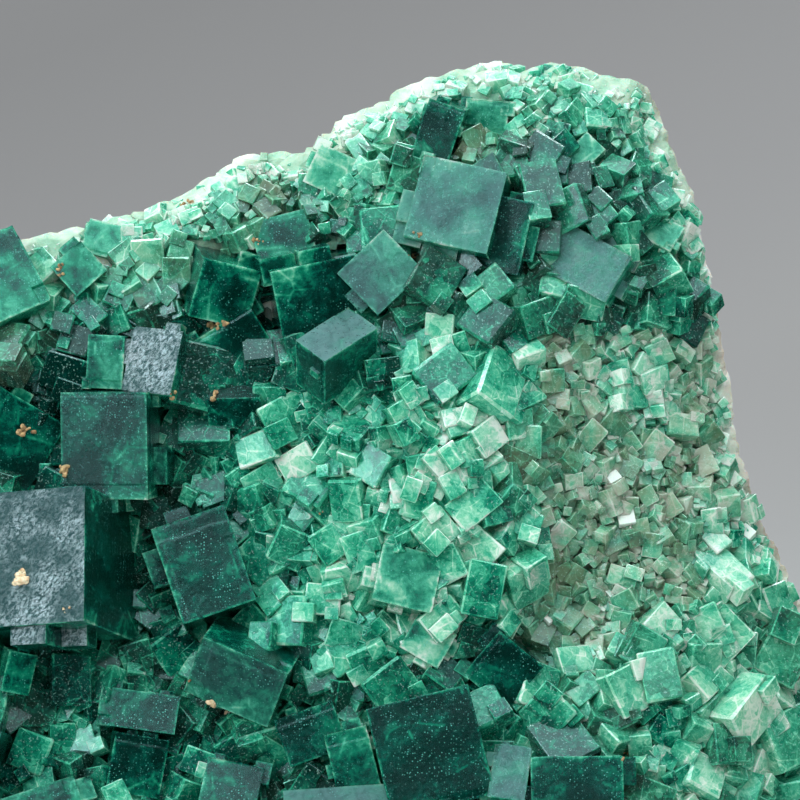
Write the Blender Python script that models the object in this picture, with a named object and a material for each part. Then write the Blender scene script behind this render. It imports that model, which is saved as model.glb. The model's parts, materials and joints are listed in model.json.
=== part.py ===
"""Green fluorite specimen: cubic crystals and a druse of small cubes grown on a slab of pale matrix.

The slab stands on a flat base in the plane z = 0. X runs along the slab's width, Z is up, and the crystals
face -Y. Lengths in the tables below are in millimetres and angles in degrees.
"""

import math

import bmesh
import bpy
import numpy as np
from mathutils import Euler, Matrix, Vector, geometry, noise

MM = 0.001
CLEARANCE = 0.3
GRID_STEP = 8.0
CRUST_THICKNESS = 1.5
CRYSTAL_BEVEL = 0.22

# The slab's outline, seen from the front, clockwise from its upper left end, as (x, z).
OUTLINE = [
    (-44.8, 109.4), (-38.5, 111.2), (-32.9, 112.6), (-25.2, 114.6), (-19.6, 116.8), (-14.7, 120.2),
    (-10.5, 122.4), (-2.1, 123.0), (0.7, 125.5), (3.5, 128.6), (9.8, 130.7), (11.9, 132.5),
    (15.4, 133.9), (22.4, 135.6), (25.2, 136.4), (29.4, 135.3), (33.6, 136.3), (39.2, 134.3),
    (46.2, 132.8), (48.6, 129.0), (49.2, 125.0), (51.3, 121.0), (53.4, 116.0), (54.4, 110.4),
    (55.8, 105.5), (58.0, 92.2), (59.7, 80.3), (63.2, 71.2), (66.7, 62.8), (73.0, 47.4),
    (76.5, 39.0), (79.3, 30.8), (81.4, 21.0), (80.7, 11.2), (77.9, 4.2), (75.0, 0.0),
    (-69.5, 0.0), (-74.4, 4.2), (-79.3, 15.4), (-81.0, 29.4), (-80.0, 46.2), (-77.2, 60.2),
    (-73.0, 74.2), (-67.4, 86.8), (-59.7, 97.0), (-52.7, 104.0), (-47.2, 108.0),
]
# Rings of the slab's side wall from front to back, as (y, inset towards the slab's middle, roughness).
WALL_RINGS = [(-60.0, 0.0, 0.0), (2.0, 0.0, 0.5), (11.0, 0.2, 1.0), (20.0, 2.2, 1.4), (45.0, 9.0, 1.8)]

# Gentle hills (negative) and hollows (positive) of the slab's front: (x, z, spread in x, spread in z, height).
RELIEF = [
    (16.0, 80.0, 16.0, 20.0, -8.5),
    (44.0, 86.0, 10.0, 7.0, 4.5),
    (42.0, 70.0, 9.0, 8.0, 3.0),
    (34.0, 58.0, 7.0, 8.0, 3.5),
    (-20.0, 62.0, 14.0, 22.0, 4.0),
    (-48.0, 70.0, 16.0, 22.0, -3.0),
    (18.0, 30.0, 26.0, 16.0, -3.0),
    (58.0, 32.0, 14.0, 16.0, -2.5),
    (30.0, 116.0, 14.0, 9.0, -1.5),
]

# Large crystals: name, front face centre (x, z), its height above the slab, (width, height, depth),
# (yaw, pitch, roll), tone. A crystal is cut back where one above it in this table already stands.
CRYSTALS = [
    ("cube_proud", 18.9, 115.5, 7.5, (12.2, 12.2, 12.2), (-7, -13, 13), "dark"),
    ("cube_lit_top", 2.4, 97.4, 9.0, (10.1, 6.0, 8.5), (0, -46, -43), "dark"),
    ("cube_left_great", -41.0, 66.5, 11.5, (19.2, 19.2, 19.2), (-21, -12, -5), "dark"),
    ("cube_left_speckled", -30.0, 81.8, 8.0, (12.6, 15.1, 13.0), (-12, 3, 0), "dark"),
    ("cube_frosted", -23.4, 93.7, 8.5, (7.7, 9.5, 9.0), (-20, -15, 6), "dark"),
    ("cube_lower_left", -16.1, 65.4, 9.5, (10.9, 14.3, 12.0), (0, -10, -19), "dark"),
    ("cube_grey_ledge", -11.6, 49.1, 10.0, (13.0, 9.0, 13.0), (-13, 18, 24), "mid"),
    ("cube_bottom_grey", 5.2, 27.3, 10.0, (19.3, 17.5, 16.0), (0, -25, -4), "dark"),
    ("cube_bottom_great", 15.4, 39.9, 8.0, (14.7, 15.7, 15.0), (0, -5, -14), "dark"),
    ("cube_lower_right", 35.6, 32.9, 8.5, (12.9, 12.9, 12.9), (0, -5, -1), "mid"),
    ("block_mint", 12.3, 63.7, 5.0, (8.7, 8.4, 8.4), (10, -10, 14), "mint"),
    ("cube_dark_middle", 0.3, 101.5, 5.5, (12.6, 12.0, 12.0), (8, 8, -12), "dark"),
    ("cube_tilted_square", 8.5, 106.0, 6.5, (8.4, 9.2, 9.0), (0, -8, 46), "dark"),
    ("cube_upper_left", -13.2, 103.0, 6.0, (8.7, 8.7, 9.0), (12, 15, 13), "mid"),
    ("cube_behind_proud", 26.3, 111.3, 3.5, (8.4, 10.5, 9.0), (30, 10, 10), "dark"),
    ("cube_upper_dark", 16.4, 125.4, 4.5, (5.6, 9.5, 7.0), (-10, 8, 20), "dark"),
    ("cube_left_end", -45.9, 105.1, 7.5, (12.6, 12.6, 12.6), (5, -20, -26), "mid"),
    ("cube_left_low", -42.7, 82.6, 4.5, (11.2, 11.2, 11.0), (15, 5, 30), "dark"),
    ("block_left_small", -30.0, 93.5, 6.0, (5.3, 7.7, 7.5), (-5, 0, 3), "mid"),
    ("cube_diamond", -33.9, 106.7, 4.5, (5.9, 5.9, 7.0), (0, -10, -42), "mid"),
    ("cube_rim_pale", -30.8, 111.0, 3.0, (5.3, 5.3, 6.0), (0, -20, 15), "mint"),
    ("cube_rounded", -5.2, 110.9, 3.5, (8.4, 7.0, 8.0), (0, -10, -15), "mid"),
    ("cube_shadowed", -12.3, 94.9, 4.5, (11.2, 8.4, 10.0), (0, 10, -32), "dark"),
    ("cube_ledge_small", -11.9, 86.4, 5.5, (7.6, 4.8, 6.5), (0, 32, -2), "dark"),
    ("cube_edge_left", -41.4, 50.4, 7.5, (4.2, 5.9, 8.0), (15, 5, 12), "mid"),
    ("block_low_a", -25.2, 45.1, 6.0, (11.2, 5.6, 8.0), (0, -15, 8), "dark"),
    ("block_low_b", -25.2, 37.5, 6.0, (7.7, 8.4, 8.4), (10, 0, 10), "dark"),
    ("block_low_c", -12.3, 34.3, 7.0, (8.1, 8.4, 9.0), (0, -20, 12), "dark"),
    ("cube_low_middle", -1.1, 42.0, 6.0, (8.7, 7.0, 9.0), (0, 0, -20), "mid"),
    ("cube_veined", 6.3, 38.5, 6.5, (7.0, 7.0, 8.0), (0, 0, 40), "mid"),
    ("cube_teal", 25.5, 50.7, 5.0, (8.1, 8.1, 8.1), (0, 5, 40), "dark"),
    ("block_rounded", 15.1, 54.9, 4.0, (6.2, 5.6, 6.0), (0, -5, 30), "mint"),
    ("plate_grey", 26.3, 37.1, 7.5, (5.3, 8.4, 5.0), (0, -30, 8), "mid"),
    ("block_speckled", 37.1, 107.5, 4.5, (10.9, 7.7, 8.5), (-10, -12, 28), "mint"),
    ("block_upper_facet", 37.2, 123.2, 2.5, (4.9, 3.9, 5.5), (0, -15, -45), "mid"),
    ("cube_right_facet", 48.3, 111.9, 3.0, (4.8, 4.5, 5.5), (0, -25, 30), "mint"),
    ("cube_upper_mint", 1.7, 120.4, 3.0, (6.7, 6.2, 6.5), (0, -5, 25), "mint"),
    ("cube_upper_round", 23.4, 128.2, 2.5, (6.2, 5.0, 6.0), (0, 0, 5), "mint"),
    ("cube_end_a", -56.5, 91.5, 6.5, (11.5, 11.0, 11.5), (-10, -15, 20), "dark"),
    ("cube_end_b", -61.5, 75.0, 6.0, (12.5, 12.0, 12.0), (-15, 6, -14), "mid"),
    ("cube_end_c", -63.0, 55.5, 8.0, (14.0, 13.0, 13.0), (-12, -18, 12), "dark"),
    ("cube_foot_a", -53.0, 39.0, 8.5, (14.5, 14.5, 14.0), (-8, -10, 24), "dark"),
    ("cube_foot_b", -68.5, 33.0, 5.5, (11.0, 11.5, 11.0), (-16, 5, -22), "mid"),
    ("cube_foot_c", -38.0, 29.5, 7.5, (12.5, 11.0, 12.0), (6, -16, -18), "dark"),
    ("cube_foot_d", -22.0, 23.0, 7.0, (12.0, 11.5, 12.0), (-6, 6, 34), "mid"),
    ("cube_foot_e", -52.0, 19.5, 6.0, (10.5, 10.0, 10.5), (0, -12, 40), "mid"),
    ("cube_foot_f", -6.0, 14.5, 5.0, (9.5, 8.5, 9.5), (8, -8, -28), "dark"),
    ("cube_foot_g", 24.0, 20.0, 6.0, (10.5, 10.0, 10.0), (-8, -14, 22), "mid"),
    ("cube_foot_h", 47.0, 19.5, 4.5, (8.0, 8.0, 8.5), (10, -10, 18), "mint"),
]

# Carpets of small cubes: name, corners of the area (x, z), how many cubes, smallest and largest edge, tone.
DRUSES = [
    ("druse_rim", [(-44, 104), (-36, 106), (-14, 112), (-2, 113), (12, 121), (31, 125), (52, 123),
                   (60, 140), (-44, 140)], 34, 2.6, 4.4, "pale"),
    ("druse_upper_left", [(-60, 84), (-16, 84), (12, 96), (12, 120.7), (-2, 112.7), (-14, 111.7),
                          (-36, 105.7), (-60, 103)], 22, 2.8, 4.6, "mid"),
    ("druse_upper_right", [(12.3, 98), (70, 98), (70, 122.7), (52, 122.7), (31, 124.7), (12.3, 120.7)],
     34, 2.6, 4.8, "mint"),
    ("druse_centre", [(-11, 59), (2, 48.5), (20, 55), (30, 66), (30, 97.7), (12.3, 97.7), (12.3, 95.7),
                      (-11, 85)], 44, 2.4, 4.6, "mint"),
    ("druse_valley", [(30.3, 66), (26, 58), (36, 52), (52, 60), (75, 66), (75, 97.7), (30.3, 97.7)],
     30, 2.0, 3.6, "olive"),
    ("druse_right_flank", [(34, 22), (90, 22), (90, 65.7), (75, 65.7), (52, 59.7), (36.2, 51.7), (34, 44)],
     38, 2.6, 4.6, "mint"),
    ("druse_foot", [(-70, -5), (90, -5), (90, 21.7), (33.7, 21.7), (33.7, 44), (20, 54.6), (2, 48),
                    (-11, 58.7), (-30, 30), (-70, 30)], 30, 2.8, 5.0, "mid"),
    ("druse_left", [(-90, -5), (-70.3, -5), (-70.3, 30.3), (-30, 30.3), (-11.3, 58.7), (-11.3, 83.7),
                    (-90, 83.7)], 30, 3.0, 5.2, "mid"),
]

TONES = {
    "dark": ((0.004, 0.075, 0.048), 0.2),
    "mid": ((0.018, 0.19, 0.115), 0.22),
    "mint": ((0.16, 0.46, 0.34), 0.28),
    "pale": ((0.52, 0.70, 0.58), 0.35),
    "olive": ((0.24, 0.36, 0.24), 0.4),
    "matrix": ((0.50, 0.46, 0.38), 0.8),
}


def clear_scene():
    for obj in list(bpy.data.objects):
        bpy.data.objects.remove(obj, do_unlink=True)


def new_collection(name, hidden=False):
    found = bpy.data.collections.new(name)
    found.hide_render = hidden
    bpy.context.scene.collection.children.link(found)
    return found


def tone_material(name, tone):
    colour, roughness = TONES[tone]
    material = bpy.data.materials.new(name)
    material.use_nodes = True
    shader = material.node_tree.nodes["Principled BSDF"]
    shader.inputs["Base Color"].default_value = (*colour, 1.0)
    shader.inputs["Roughness"].default_value = roughness
    shader.inputs["Metallic"].default_value = 0.0
    material.diffuse_color = (*colour, 1.0)
    return material


def object_from(bm, name, collection):
    """A new object from a bmesh in millimetres."""
    bmesh.ops.recalc_face_normals(bm, faces=bm.faces)
    bmesh.ops.scale(bm, vec=(MM, MM, MM), verts=bm.verts)
    mesh = bpy.data.meshes.new(name)
    bm.to_mesh(mesh)
    bm.free()
    obj = bpy.data.objects.new(name, mesh)
    collection.objects.link(obj)
    return obj


def step(value, low, high):
    """0 below low, 1 above high, and smooth between."""
    t = min(max((value - low) / (high - low), 0.0), 1.0)
    return t * t * (3.0 - 2.0 * t)


def rim_distance(x, z):
    """How far a point lies inside the outline's top and side edges; the base edge doesn't count."""
    nearest = 1e9
    for (ax, az), (bx, bz) in zip(OUTLINE, OUTLINE[1:] + OUTLINE[:1]):
        if az == 0.0 and bz == 0.0:
            continue
        foot, along = geometry.intersect_point_line(Vector((x, z)), Vector((ax, az)), Vector((bx, bz)))
        along = min(max(along, 0.0), 1.0)
        nearest = min(nearest, math.hypot(x - ax - along * (bx - ax), z - az - along * (bz - az)))
    return nearest


def front_y(x, z):
    """The slab's front surface, on which the crystals grow."""
    y = -6.0 + 0.10 * (z - 70.0)
    y += 15.0 * step(x, 40.0, 76.0)
    y += 5.0 * step(-x, 52.0, 84.0)
    y += 2.5 * step(z, 112.0, 134.0)
    y += 4.0 * (1.0 - step(rim_distance(x, z), 0.0, 7.0))
    for cx, cz, wide, high, height in RELIEF:
        y += height * math.exp(-0.5 * (((x - cx) / wide) ** 2 + ((z - cz) / high) ** 2))
    y += 0.9 * noise.noise(Vector((x / 11.0, 3.7, z / 11.0)))
    return y


def back_y(x, z):
    """The slab's rough back."""
    y = 33.0 - 0.115 * z - 2.0 * step(abs(x), 40.0, 80.0)
    y += 2.4 * noise.noise(Vector((x / 24.0, 9.1, z / 24.0)))
    y += 1.1 * noise.noise(Vector((x / 9.0, 5.3, z / 9.0)))
    return max(y, front_y(x, z) + 5.0)


def sheet(name, near, far, collection):
    """A solid between two surfaces y = near(x, z) and y = far(x, z), over the slab's bounding rectangle."""
    wide, tall = 176.0, 156.0
    columns, rows = round(wide / GRID_STEP), round(tall / GRID_STEP)
    bm = bmesh.new()
    bmesh.ops.create_grid(bm, x_segments=columns, y_segments=rows, size=0.5)
    for vert in bm.verts:
        vert.co = Vector((vert.co.x * wide, 0.0, vert.co.y * tall + 66.0))
    bmesh.ops.triangulate(bm, faces=bm.faces, quad_method="FIXED")
    grown = bmesh.ops.extrude_face_region(bm, geom=list(bm.faces), use_keep_orig=True)
    behind = {element for element in grown["geom"] if isinstance(element, bmesh.types.BMVert)}
    for vert in bm.verts:
        surface = far if vert in behind else near
        vert.co.y = surface(vert.co.x, vert.co.z)
    return object_from(bm, name, collection)


def prism(name, corners, collection, near=-60.0, far=60.0):
    """A flat outline (x, z) run straight through from y = near to y = far."""
    bm = bmesh.new()
    face = bm.faces.new([bm.verts.new((x, near, z)) for x, z in corners])
    grown = bmesh.ops.extrude_face_region(bm, geom=[face], use_keep_orig=True)
    for element in grown["geom"]:
        if isinstance(element, bmesh.types.BMVert):
            element.co.y = far
    return object_from(bm, name, collection)


def wall_prism(name, collection, shrink=0.0):
    """The slab's outline lofted through WALL_RINGS, so that its sides are broken stone and its base is flat."""
    middle = Vector((4.0, 62.0))
    bm = bmesh.new()
    rings = []
    for level, (y, inset, rough) in enumerate(WALL_RINGS):
        ring = []
        for index, (x, z) in enumerate(OUTLINE):
            inward = (middle - Vector((x, z))).normalized()
            shift = inset + shrink + rough * noise.noise(Vector((index * 0.83, level * 2.3, 1.7)))
            new_z = 0.0 if z == 0.0 else max(z + inward.y * shift, 1.2)
            ring.append(bm.verts.new((x + inward.x * shift, y, new_z)))
        rings.append(ring)
    bm.faces.new(rings[0])
    bm.faces.new(rings[-1])
    count = len(OUTLINE)
    for front, behind in zip(rings, rings[1:]):
        for index in range(count):
            following = (index + 1) % count
            bm.faces.new((front[index], front[following], behind[following], behind[index]))
    bmesh.ops.triangulate(bm, faces=bm.faces)
    return object_from(bm, name, collection)


def evaluated_mesh(obj):
    graph = bpy.context.evaluated_depsgraph_get()
    return bpy.data.meshes.new_from_object(obj.evaluated_get(graph))


def combine(obj, other, operation, use_self=False):
    """Applies one exact Boolean with an object or a collection."""
    modifier = obj.modifiers.new(operation.lower(), "BOOLEAN")
    modifier.operation = operation
    modifier.solver = "EXACT"
    modifier.use_self = use_self
    if isinstance(other, bpy.types.Collection):
        modifier.operand_type = "COLLECTION"
        modifier.collection = other
    else:
        modifier.object = other
    mesh = evaluated_mesh(obj)
    obj.modifiers.clear()
    obj.data = mesh


def keep_largest(obj):
    """Drops the loose chips that a cut leaves behind, and keeps the one body they came from."""
    bm = bmesh.new()
    bm.from_mesh(obj.data)
    seen = set()
    pieces = []
    for start in bm.faces:
        if start in seen:
            continue
        piece, waiting = [], [start]
        seen.add(start)
        while waiting:
            face = waiting.pop()
            piece.append(face)
            for edge in face.edges:
                for other in edge.link_faces:
                    if other not in seen:
                        seen.add(other)
                        waiting.append(other)
        pieces.append(piece)
    pieces.sort(key=lambda piece: sum(face.calc_area() for face in piece), reverse=True)
    for piece in pieces[1:]:
        bmesh.ops.delete(bm, geom=piece, context="FACES")
    bmesh.ops.delete(bm, geom=[v for v in bm.verts if not v.link_faces], context="VERTS")
    bm.to_mesh(obj.data)
    bm.free()


def crystal_matrix(row):
    """Where a crystal stands: its front face's centre lies above the slab, and its body runs back from there."""
    _, x, z, rise, (_, _, depth), (yaw, pitch, roll), _ = row
    turn = Euler((math.radians(pitch), math.radians(roll), math.radians(yaw)), "YXZ").to_matrix()
    face = Vector((x, front_y(x, z) - rise, z))
    centre = face + turn @ Vector((0.0, depth / 2.0, 0.0))
    return Matrix.Translation(centre) @ turn.to_4x4()


def box(name, size, place, grow, bevel, collection):
    width, height, depth = (side + 2.0 * grow for side in size)
    bm = bmesh.new()
    bmesh.ops.create_cube(bm, size=1.0)
    bmesh.ops.scale(bm, vec=(width, depth, height), verts=bm.verts)
    if bevel:
        bmesh.ops.bevel(bm, geom=bm.edges[:], offset=bevel, segments=1, profile=0.5, affect="EDGES")
    bmesh.ops.transform(bm, matrix=place, verts=bm.verts)
    return object_from(bm, name, collection)


def near_enough(row_a, row_b):
    centre_a, centre_b = crystal_matrix(row_a).translation, crystal_matrix(row_b).translation
    return (centre_a - centre_b).length < 0.5 * (Vector(row_a[4]).length + Vector(row_b[4]).length)


def build_crystals(shapes, cutters):
    """Every large crystal, each cut back by the crystals above it in the table."""
    cutter_of = {}
    for index, row in enumerate(CRYSTALS):
        name, size, place = row[0], row[4], crystal_matrix(row)
        crystal = box(name, size, place, 0.0, CRYSTAL_BEVEL, shapes)
        crystal.data.materials.clear()
        for earlier in CRYSTALS[:index]:
            if near_enough(row, earlier):
                combine(crystal, cutter_of[earlier[0]], "DIFFERENCE")
        keep_largest(crystal)
        crystal.data.materials.clear()
        crystal.data.materials.append(tone_material(name, row[6]))
        cutter = box("cut_" + name, size, place, CLEARANCE, 0.0, cutters)
        cutter.display_type = "WIRE"
        cutter_of[name] = cutter


def build_matrix(shapes, cutters):
    """The slab, with a socket for each large crystal."""
    slab = sheet("matrix", front_y, back_y, shapes)
    wall = wall_prism("cut_wall", bpy.data.collections["working"])
    combine(slab, wall, "INTERSECT")
    combine(slab, cutters, "DIFFERENCE")
    keep_largest(slab)
    slab.data.materials.clear()
    slab.data.materials.append(tone_material("matrix", "matrix"))


def scatter(rng, corners, count, low, high):
    """Spread-out places inside an area of the slab, each with an edge length."""
    polygon = [Vector(corner) for corner in corners]
    xs, zs = [c[0] for c in corners], [c[1] for c in corners]
    found = []
    for _ in range(count * 60):
        if len(found) == count:
            break
        x, z = rng.uniform(min(xs), max(xs)), rng.uniform(min(zs), max(zs))
        edge = rng.uniform(low, high)
        inside = inside_outline(x, z, polygon) and inside_outline(x, z, [Vector(c) for c in OUTLINE])
        if not inside or z < edge or rim_distance(x, z) < 1.5:
            continue
        if all(math.hypot(x - px, z - pz) > 0.95 * (edge + other) * 0.62 for px, pz, other in found):
            found.append((x, z, edge))
    return found


def inside_outline(x, z, polygon):
    crossings = 0
    for a, b in zip(polygon, polygon[1:] + polygon[:1]):
        if (a.y > z) != (b.y > z) and x < a.x + (z - a.y) * (b.x - a.x) / (b.y - a.y):
            crossings += 1
    return crossings % 2 == 1


def small_cubes(rng, places, name, collection):
    """One mesh of overlapping small cubes, each turned its own way and half sunk in the crust."""
    bm = bmesh.new()
    for x, z, edge in places:
        turn = Euler([math.radians(rng.uniform(-38, 38)) for _ in range(3)], "YXZ").to_matrix().to_4x4()
        place = Matrix.Translation((x, front_y(x, z) - 1.0 - 0.12 * edge, z)) @ turn
        bmesh.ops.create_cube(bm, size=edge, matrix=place)
    return object_from(bm, name, collection)


def build_druse(index, row, shapes, cutters):
    """One carpet: a thin crust over its area, its small cubes, and gaps left for the large crystals."""
    name, corners, count, low, high, tone = row
    working = bpy.data.collections["working"]
    rng = np.random.default_rng(40 + index)
    area = prism("area_" + name, corners, working)
    wall = bpy.data.objects["cut_wall_inner"]
    crust = sheet(name, crust_top, crust_bottom, shapes)
    cubes = small_cubes(rng, scatter(rng, corners, count, low, high), "cubes_" + name, working)
    combine(cubes, bpy.data.objects["open_side"], "INTERSECT", use_self=True)
    combine(crust, cubes, "UNION")
    combine(crust, area, "INTERSECT")
    combine(crust, wall, "INTERSECT")
    combine(crust, cutters, "DIFFERENCE")
    keep_largest(crust)
    crust.data.materials.clear()
    crust.data.materials.append(tone_material(name, tone))


def crust_top(x, z):
    return front_y(x, z) - CLEARANCE - CRUST_THICKNESS


def crust_middle(x, z):
    return front_y(x, z) - CLEARANCE - 0.5 * CRUST_THICKNESS


def crust_bottom(x, z):
    return front_y(x, z) - CLEARANCE


def build():
    clear_scene()
    shapes = new_collection("fluorite_specimen")
    cutters = new_collection("cutters", hidden=True)
    working = new_collection("working", hidden=True)
    build_crystals(shapes, cutters)
    build_matrix(shapes, cutters)
    wall_prism("cut_wall_inner", working, shrink=0.4)
    sheet("open_side", lambda x, z: -80.0, crust_middle, working)
    for index, row in enumerate(DRUSES):
        build_druse(index, row, shapes, cutters)
    for obj in list(working.objects):
        bpy.data.objects.remove(obj, do_unlink=True)
    bpy.data.collections.remove(working)


build()
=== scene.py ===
"""Looks for the fluorite specimen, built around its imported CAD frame.

Every large CAD crystal is grown again with terraces, chips and frosting, the druse carpets become
thousands of small crystals, and the slab becomes rough broken matrix. Lengths here are in metres.
"""

import json
import math

import bpy
import numpy as np
from mathutils import Matrix, Vector, noise
from mathutils.bvhtree import BVHTree


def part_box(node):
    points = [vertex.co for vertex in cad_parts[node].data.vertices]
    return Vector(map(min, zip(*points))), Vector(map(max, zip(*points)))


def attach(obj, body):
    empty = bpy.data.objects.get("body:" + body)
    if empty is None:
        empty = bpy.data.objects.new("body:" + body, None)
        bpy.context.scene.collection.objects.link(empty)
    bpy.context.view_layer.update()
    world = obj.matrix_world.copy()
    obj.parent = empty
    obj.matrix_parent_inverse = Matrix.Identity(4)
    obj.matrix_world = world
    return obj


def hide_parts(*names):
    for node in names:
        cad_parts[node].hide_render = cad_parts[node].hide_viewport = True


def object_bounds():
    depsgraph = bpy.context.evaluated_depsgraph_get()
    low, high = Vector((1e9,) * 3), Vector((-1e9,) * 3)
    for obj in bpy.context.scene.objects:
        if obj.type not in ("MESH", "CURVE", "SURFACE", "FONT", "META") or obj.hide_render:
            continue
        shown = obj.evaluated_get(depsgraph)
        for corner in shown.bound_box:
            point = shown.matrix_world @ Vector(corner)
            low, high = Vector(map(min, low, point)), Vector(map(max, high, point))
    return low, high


MM = 0.001
ROOT = "root"
# Without this, noise_vector's offsets come from the clock, and the broken stone differs each run.
noise.seed_set(1)

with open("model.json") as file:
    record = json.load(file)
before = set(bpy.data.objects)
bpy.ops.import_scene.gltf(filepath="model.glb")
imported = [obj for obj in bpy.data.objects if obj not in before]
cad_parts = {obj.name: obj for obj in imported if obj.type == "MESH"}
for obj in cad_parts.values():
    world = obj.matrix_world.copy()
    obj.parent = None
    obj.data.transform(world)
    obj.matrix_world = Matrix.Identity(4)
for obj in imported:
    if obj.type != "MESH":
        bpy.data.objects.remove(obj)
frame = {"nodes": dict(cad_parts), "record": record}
cad_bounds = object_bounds()
NODES = frame["nodes"]
LOW = np.array(cad_bounds[0], float)
HIGH = np.array(cad_bounds[1], float)

SLOT_OF = {s["node"]: s["material_slot"] for s in frame["record"]["subparts"]}
DRUSE_NODES = sorted(name for name in NODES if name.startswith("druse_"))
CRYSTAL_NODES = sorted(name for name in NODES if name != "matrix" and not name.startswith("druse_"))


# ---------------------------------------------------------------- mesh helpers

def mesh_object(name, points, faces, smooth=False):
    """An object from arrays of points and of faces that all have the same number of corners."""
    mesh = bpy.data.meshes.new(name)
    if isinstance(faces, list):
        mesh.from_pydata(points.tolist(), [], faces)
    else:
        count, corners = faces.shape
        mesh.vertices.add(len(points))
        mesh.vertices.foreach_set("co", np.ascontiguousarray(points, np.float32).ravel())
        mesh.loops.add(count * corners)
        mesh.loops.foreach_set("vertex_index", np.ascontiguousarray(faces, np.int32).ravel())
        mesh.polygons.add(count)
        mesh.polygons.foreach_set("loop_start", np.arange(0, count * corners, corners, dtype=np.int32))
        mesh.update(calc_edges=True)
        mesh.validate()
    mesh.polygons.foreach_set("use_smooth", np.full(len(mesh.polygons), smooth))
    obj = bpy.data.objects.new(name, mesh)
    bpy.context.scene.collection.objects.link(obj)
    return obj


def add_attribute(obj, name, values, domain="POINT"):
    attribute = obj.data.attributes.new(name, "FLOAT", domain)
    attribute.data.foreach_set("value", np.ascontiguousarray(values, np.float32))


def smoothstep(value, low, high):
    t = np.clip((value - low) / (high - low), 0.0, 1.0)
    return t * t * (3.0 - 2.0 * t)


def points_of(obj):
    flat = np.empty(len(obj.data.vertices) * 3, np.float32)
    obj.data.vertices.foreach_get("co", flat)
    return flat.reshape(-1, 3).astype(float)


def finish_piece(obj, material, slot, *nodes):
    obj.data.materials.clear()
    obj.data.materials.append(material)
    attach(obj, ROOT)
    if nodes:
        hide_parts(*nodes)
    return obj


# ---------------------------------------------------------------- reading the CAD crystals

def crystal_frame(obj):
    """A CAD crystal's centre, its three axes as rows, and its half sizes, from its flat faces."""
    normals, areas = [], []
    for polygon in obj.data.polygons:
        normals.append(polygon.normal)
        areas.append(polygon.area)
    normals, areas = np.array(normals, float), np.array(areas, float)
    first = strongest_direction(normals, areas)
    flat = normals - np.outer(normals @ first, first)
    upright = np.abs(normals @ first) < 0.1
    second = strongest_direction(flat[upright], areas[upright])
    second -= first * (second @ first)
    second /= np.linalg.norm(second)
    axes = np.array([first, second, np.cross(first, second)])
    local = points_of(obj) @ axes.T
    low, high = local.min(0), local.max(0)
    return ((low + high) / 2.0) @ axes, axes, (high - low) / 2.0


def strongest_direction(normals, areas):
    """The direction, either way round, that the most area faces."""
    alike = np.abs(normals @ normals.T) > 0.995
    best = int(np.argmax(alike @ areas))
    members = alike[best]
    signs = np.sign(normals[members] @ normals[best])
    mean = (normals[members] * (signs * areas[members])[:, None]).sum(0)
    return mean / np.linalg.norm(mean)


# ---------------------------------------------------------------- growing a large crystal

# How frosted a crystal's faces are, 0 for glass to 1 for fully etched; it also sets their painted sheen and glints.
FROST_AND_SHEEN = {
    "cube_left_great": 1.0, "cube_frosted": 1.0, "cube_left_speckled": 0.45, "cube_proud": 0.58,
    "cube_lit_top": 0.66, "cube_grey_ledge": 0.60, "cube_bottom_grey": 0.60, "cube_bottom_great": 0.35,
    "block_mint": 0.45, "block_speckled": 0.64, "cube_tilted_square": 0.52, "cube_lower_left": 0.3,
    "plate_grey": 0.60,
}
PLAIN_FROST_AND_SHEEN = 0.4
# Faces that look this way, towards the left softbox, get the most etching and the most painted sheen and glints.
LIT_SIDE = np.array([-0.42, -0.83, 0.36])

TONE_OF_SLOT = {
    "fluorite_dark_green": 0.10,
    "fluorite_green": 0.25,
    "fluorite_mint": 0.54,
    "fluorite_rim_pale": 0.85,
    "fluorite_olive": 0.6,
    "matrix_stone": 0.8,
}


# Crystals that are paler or darker than their slot's other crystals.
TONE = {
    "cube_proud": 0.38, "cube_lit_top": 0.22, "cube_bottom_grey": 0.30, "cube_grey_ledge": 0.22,
    "block_speckled": 0.52, "cube_tilted_square": 0.22, "cube_left_great": 0.12, "cube_frosted": 0.22,
}


def axis_lines(half, bevel, step):
    """Grid lines along one side: close together at the bevels and even between them."""
    inner = half - bevel
    count = max(int(round(2.0 * inner / step)), 2)
    middle = np.linspace(-inner, inner, count + 1)
    return np.concatenate([[-half, -half + bevel * 0.45], middle, [half - bevel * 0.45, half]])


def box_surface(half, bevel, step):
    """The grid over a box's six sides, as points and quads."""
    lines = [axis_lines(h, bevel, step) for h in half]
    index = {}
    points = []

    def corner(key):
        if key not in index:
            index[key] = len(points)
            points.append([lines[axis][key[axis]] for axis in range(3)])
        return index[key]

    quads = []
    for axis in range(3):
        u, v = (axis + 1) % 3, (axis + 2) % 3
        for end in (0, len(lines[axis]) - 1):
            for i in range(len(lines[u]) - 1):
                for j in range(len(lines[v]) - 1):
                    keys = []
                    for di, dj in ((0, 0), (1, 0), (1, 1), (0, 1)):
                        key = [0, 0, 0]
                        key[axis], key[u], key[v] = end, i + di, j + dj
                        keys.append(corner(tuple(key)))
                    quads.append(keys if end else keys[::-1])
    return np.array(points), np.array(quads, np.int32)


def noise_at(points, scale, offset):
    return np.array([noise.noise(Vector(p) * scale + Vector((offset, 0.0, 0.0))) for p in points])


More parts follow.
